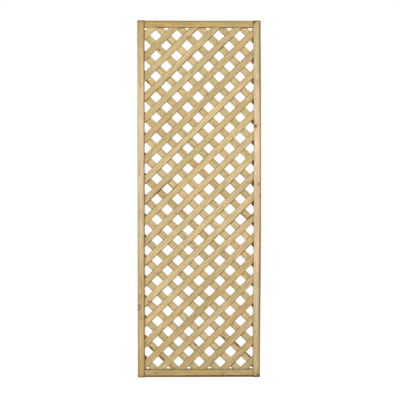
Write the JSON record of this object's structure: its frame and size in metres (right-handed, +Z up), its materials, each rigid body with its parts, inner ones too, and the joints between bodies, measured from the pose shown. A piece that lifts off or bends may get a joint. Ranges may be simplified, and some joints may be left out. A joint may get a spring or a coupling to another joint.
{
  "type": "trellis panel",
  "caption": "Framed diamond lattice trellis panel in treated softwood, slats let into a grooved frame, for climbing plants and screening.",
  "frame": {"origin": "on the ground line, under the middle of the bottom rail", "axes": "+X across the panel to the right as seen from the front, +Y from the front to the back, +Z up the stiles"},
  "size_m": [0.62, 0.035, 1.8],
  "materials": {
    "frame_wood": "planed softwood, pressure treated, matt",
    "front_slat_wood": "fine sawn softwood slat, pressure treated, matt",
    "back_slat_wood": "fine sawn softwood slat, pressure treated, matt",
    "screw_steel": "zinc plated"
  },
  "bodies": {
    "root": {"stile_left": "frame_wood", "stile_right": "frame_wood", "rail_top": "frame_wood", "rail_bottom": "frame_wood", "screw_top_left": "screw_steel", "screw_top_right": "screw_steel", "screw_bottom_left": "screw_steel", "screw_bottom_right": "screw_steel", "front_slat_upper_01": "front_slat_wood", "front_slat_upper_02": "front_slat_wood", "front_slat_upper_03": "front_slat_wood", "front_slat_upper_04": "front_slat_wood", "front_slat_upper_05": "front_slat_wood", "front_slat_upper_06": "front_slat_wood", "front_slat_upper_07": "front_slat_wood", "front_slat_upper_08": "front_slat_wood", "front_slat_upper_09": "front_slat_wood", "front_slat_upper_10": "front_slat_wood", "front_slat_upper_11": "front_slat_wood", "front_slat_lower_01": "front_slat_wood", "front_slat_lower_02": "front_slat_wood", "front_slat_lower_03": "front_slat_wood", "front_slat_lower_04": "front_slat_wood", "front_slat_lower_05": "front_slat_wood", "front_slat_lower_06": "front_slat_wood", "front_slat_lower_07": "front_slat_wood", "front_slat_lower_08": "front_slat_wood", "front_slat_lower_09": "front_slat_wood", "front_slat_lower_10": "front_slat_wood", "front_slat_lower_11": "front_slat_wood", "back_slat_upper_01": "back_slat_wood", "back_slat_upper_02": "back_slat_wood", "back_slat_upper_03": "back_slat_wood", "back_slat_upper_04": "back_slat_wood", "back_slat_upper_05": "back_slat_wood", "back_slat_upper_06": "back_slat_wood", "back_slat_upper_07": "back_slat_wood", "back_slat_upper_08": "back_slat_wood", "back_slat_upper_09": "back_slat_wood", "back_slat_upper_10": "back_slat_wood", "back_slat_upper_11": "back_slat_wood", "back_slat_lower_01": "back_slat_wood", "back_slat_lower_02": "back_slat_wood", "back_slat_lower_03": "back_slat_wood", "back_slat_lower_04": "back_slat_wood", "back_slat_lower_05": "back_slat_wood", "back_slat_lower_06": "back_slat_wood", "back_slat_lower_07": "back_slat_wood", "back_slat_lower_08": "back_slat_wood", "back_slat_lower_09": "back_slat_wood", "back_slat_lower_10": "back_slat_wood", "back_slat_lower_11": "back_slat_wood"}
  },
  "joints": []
}
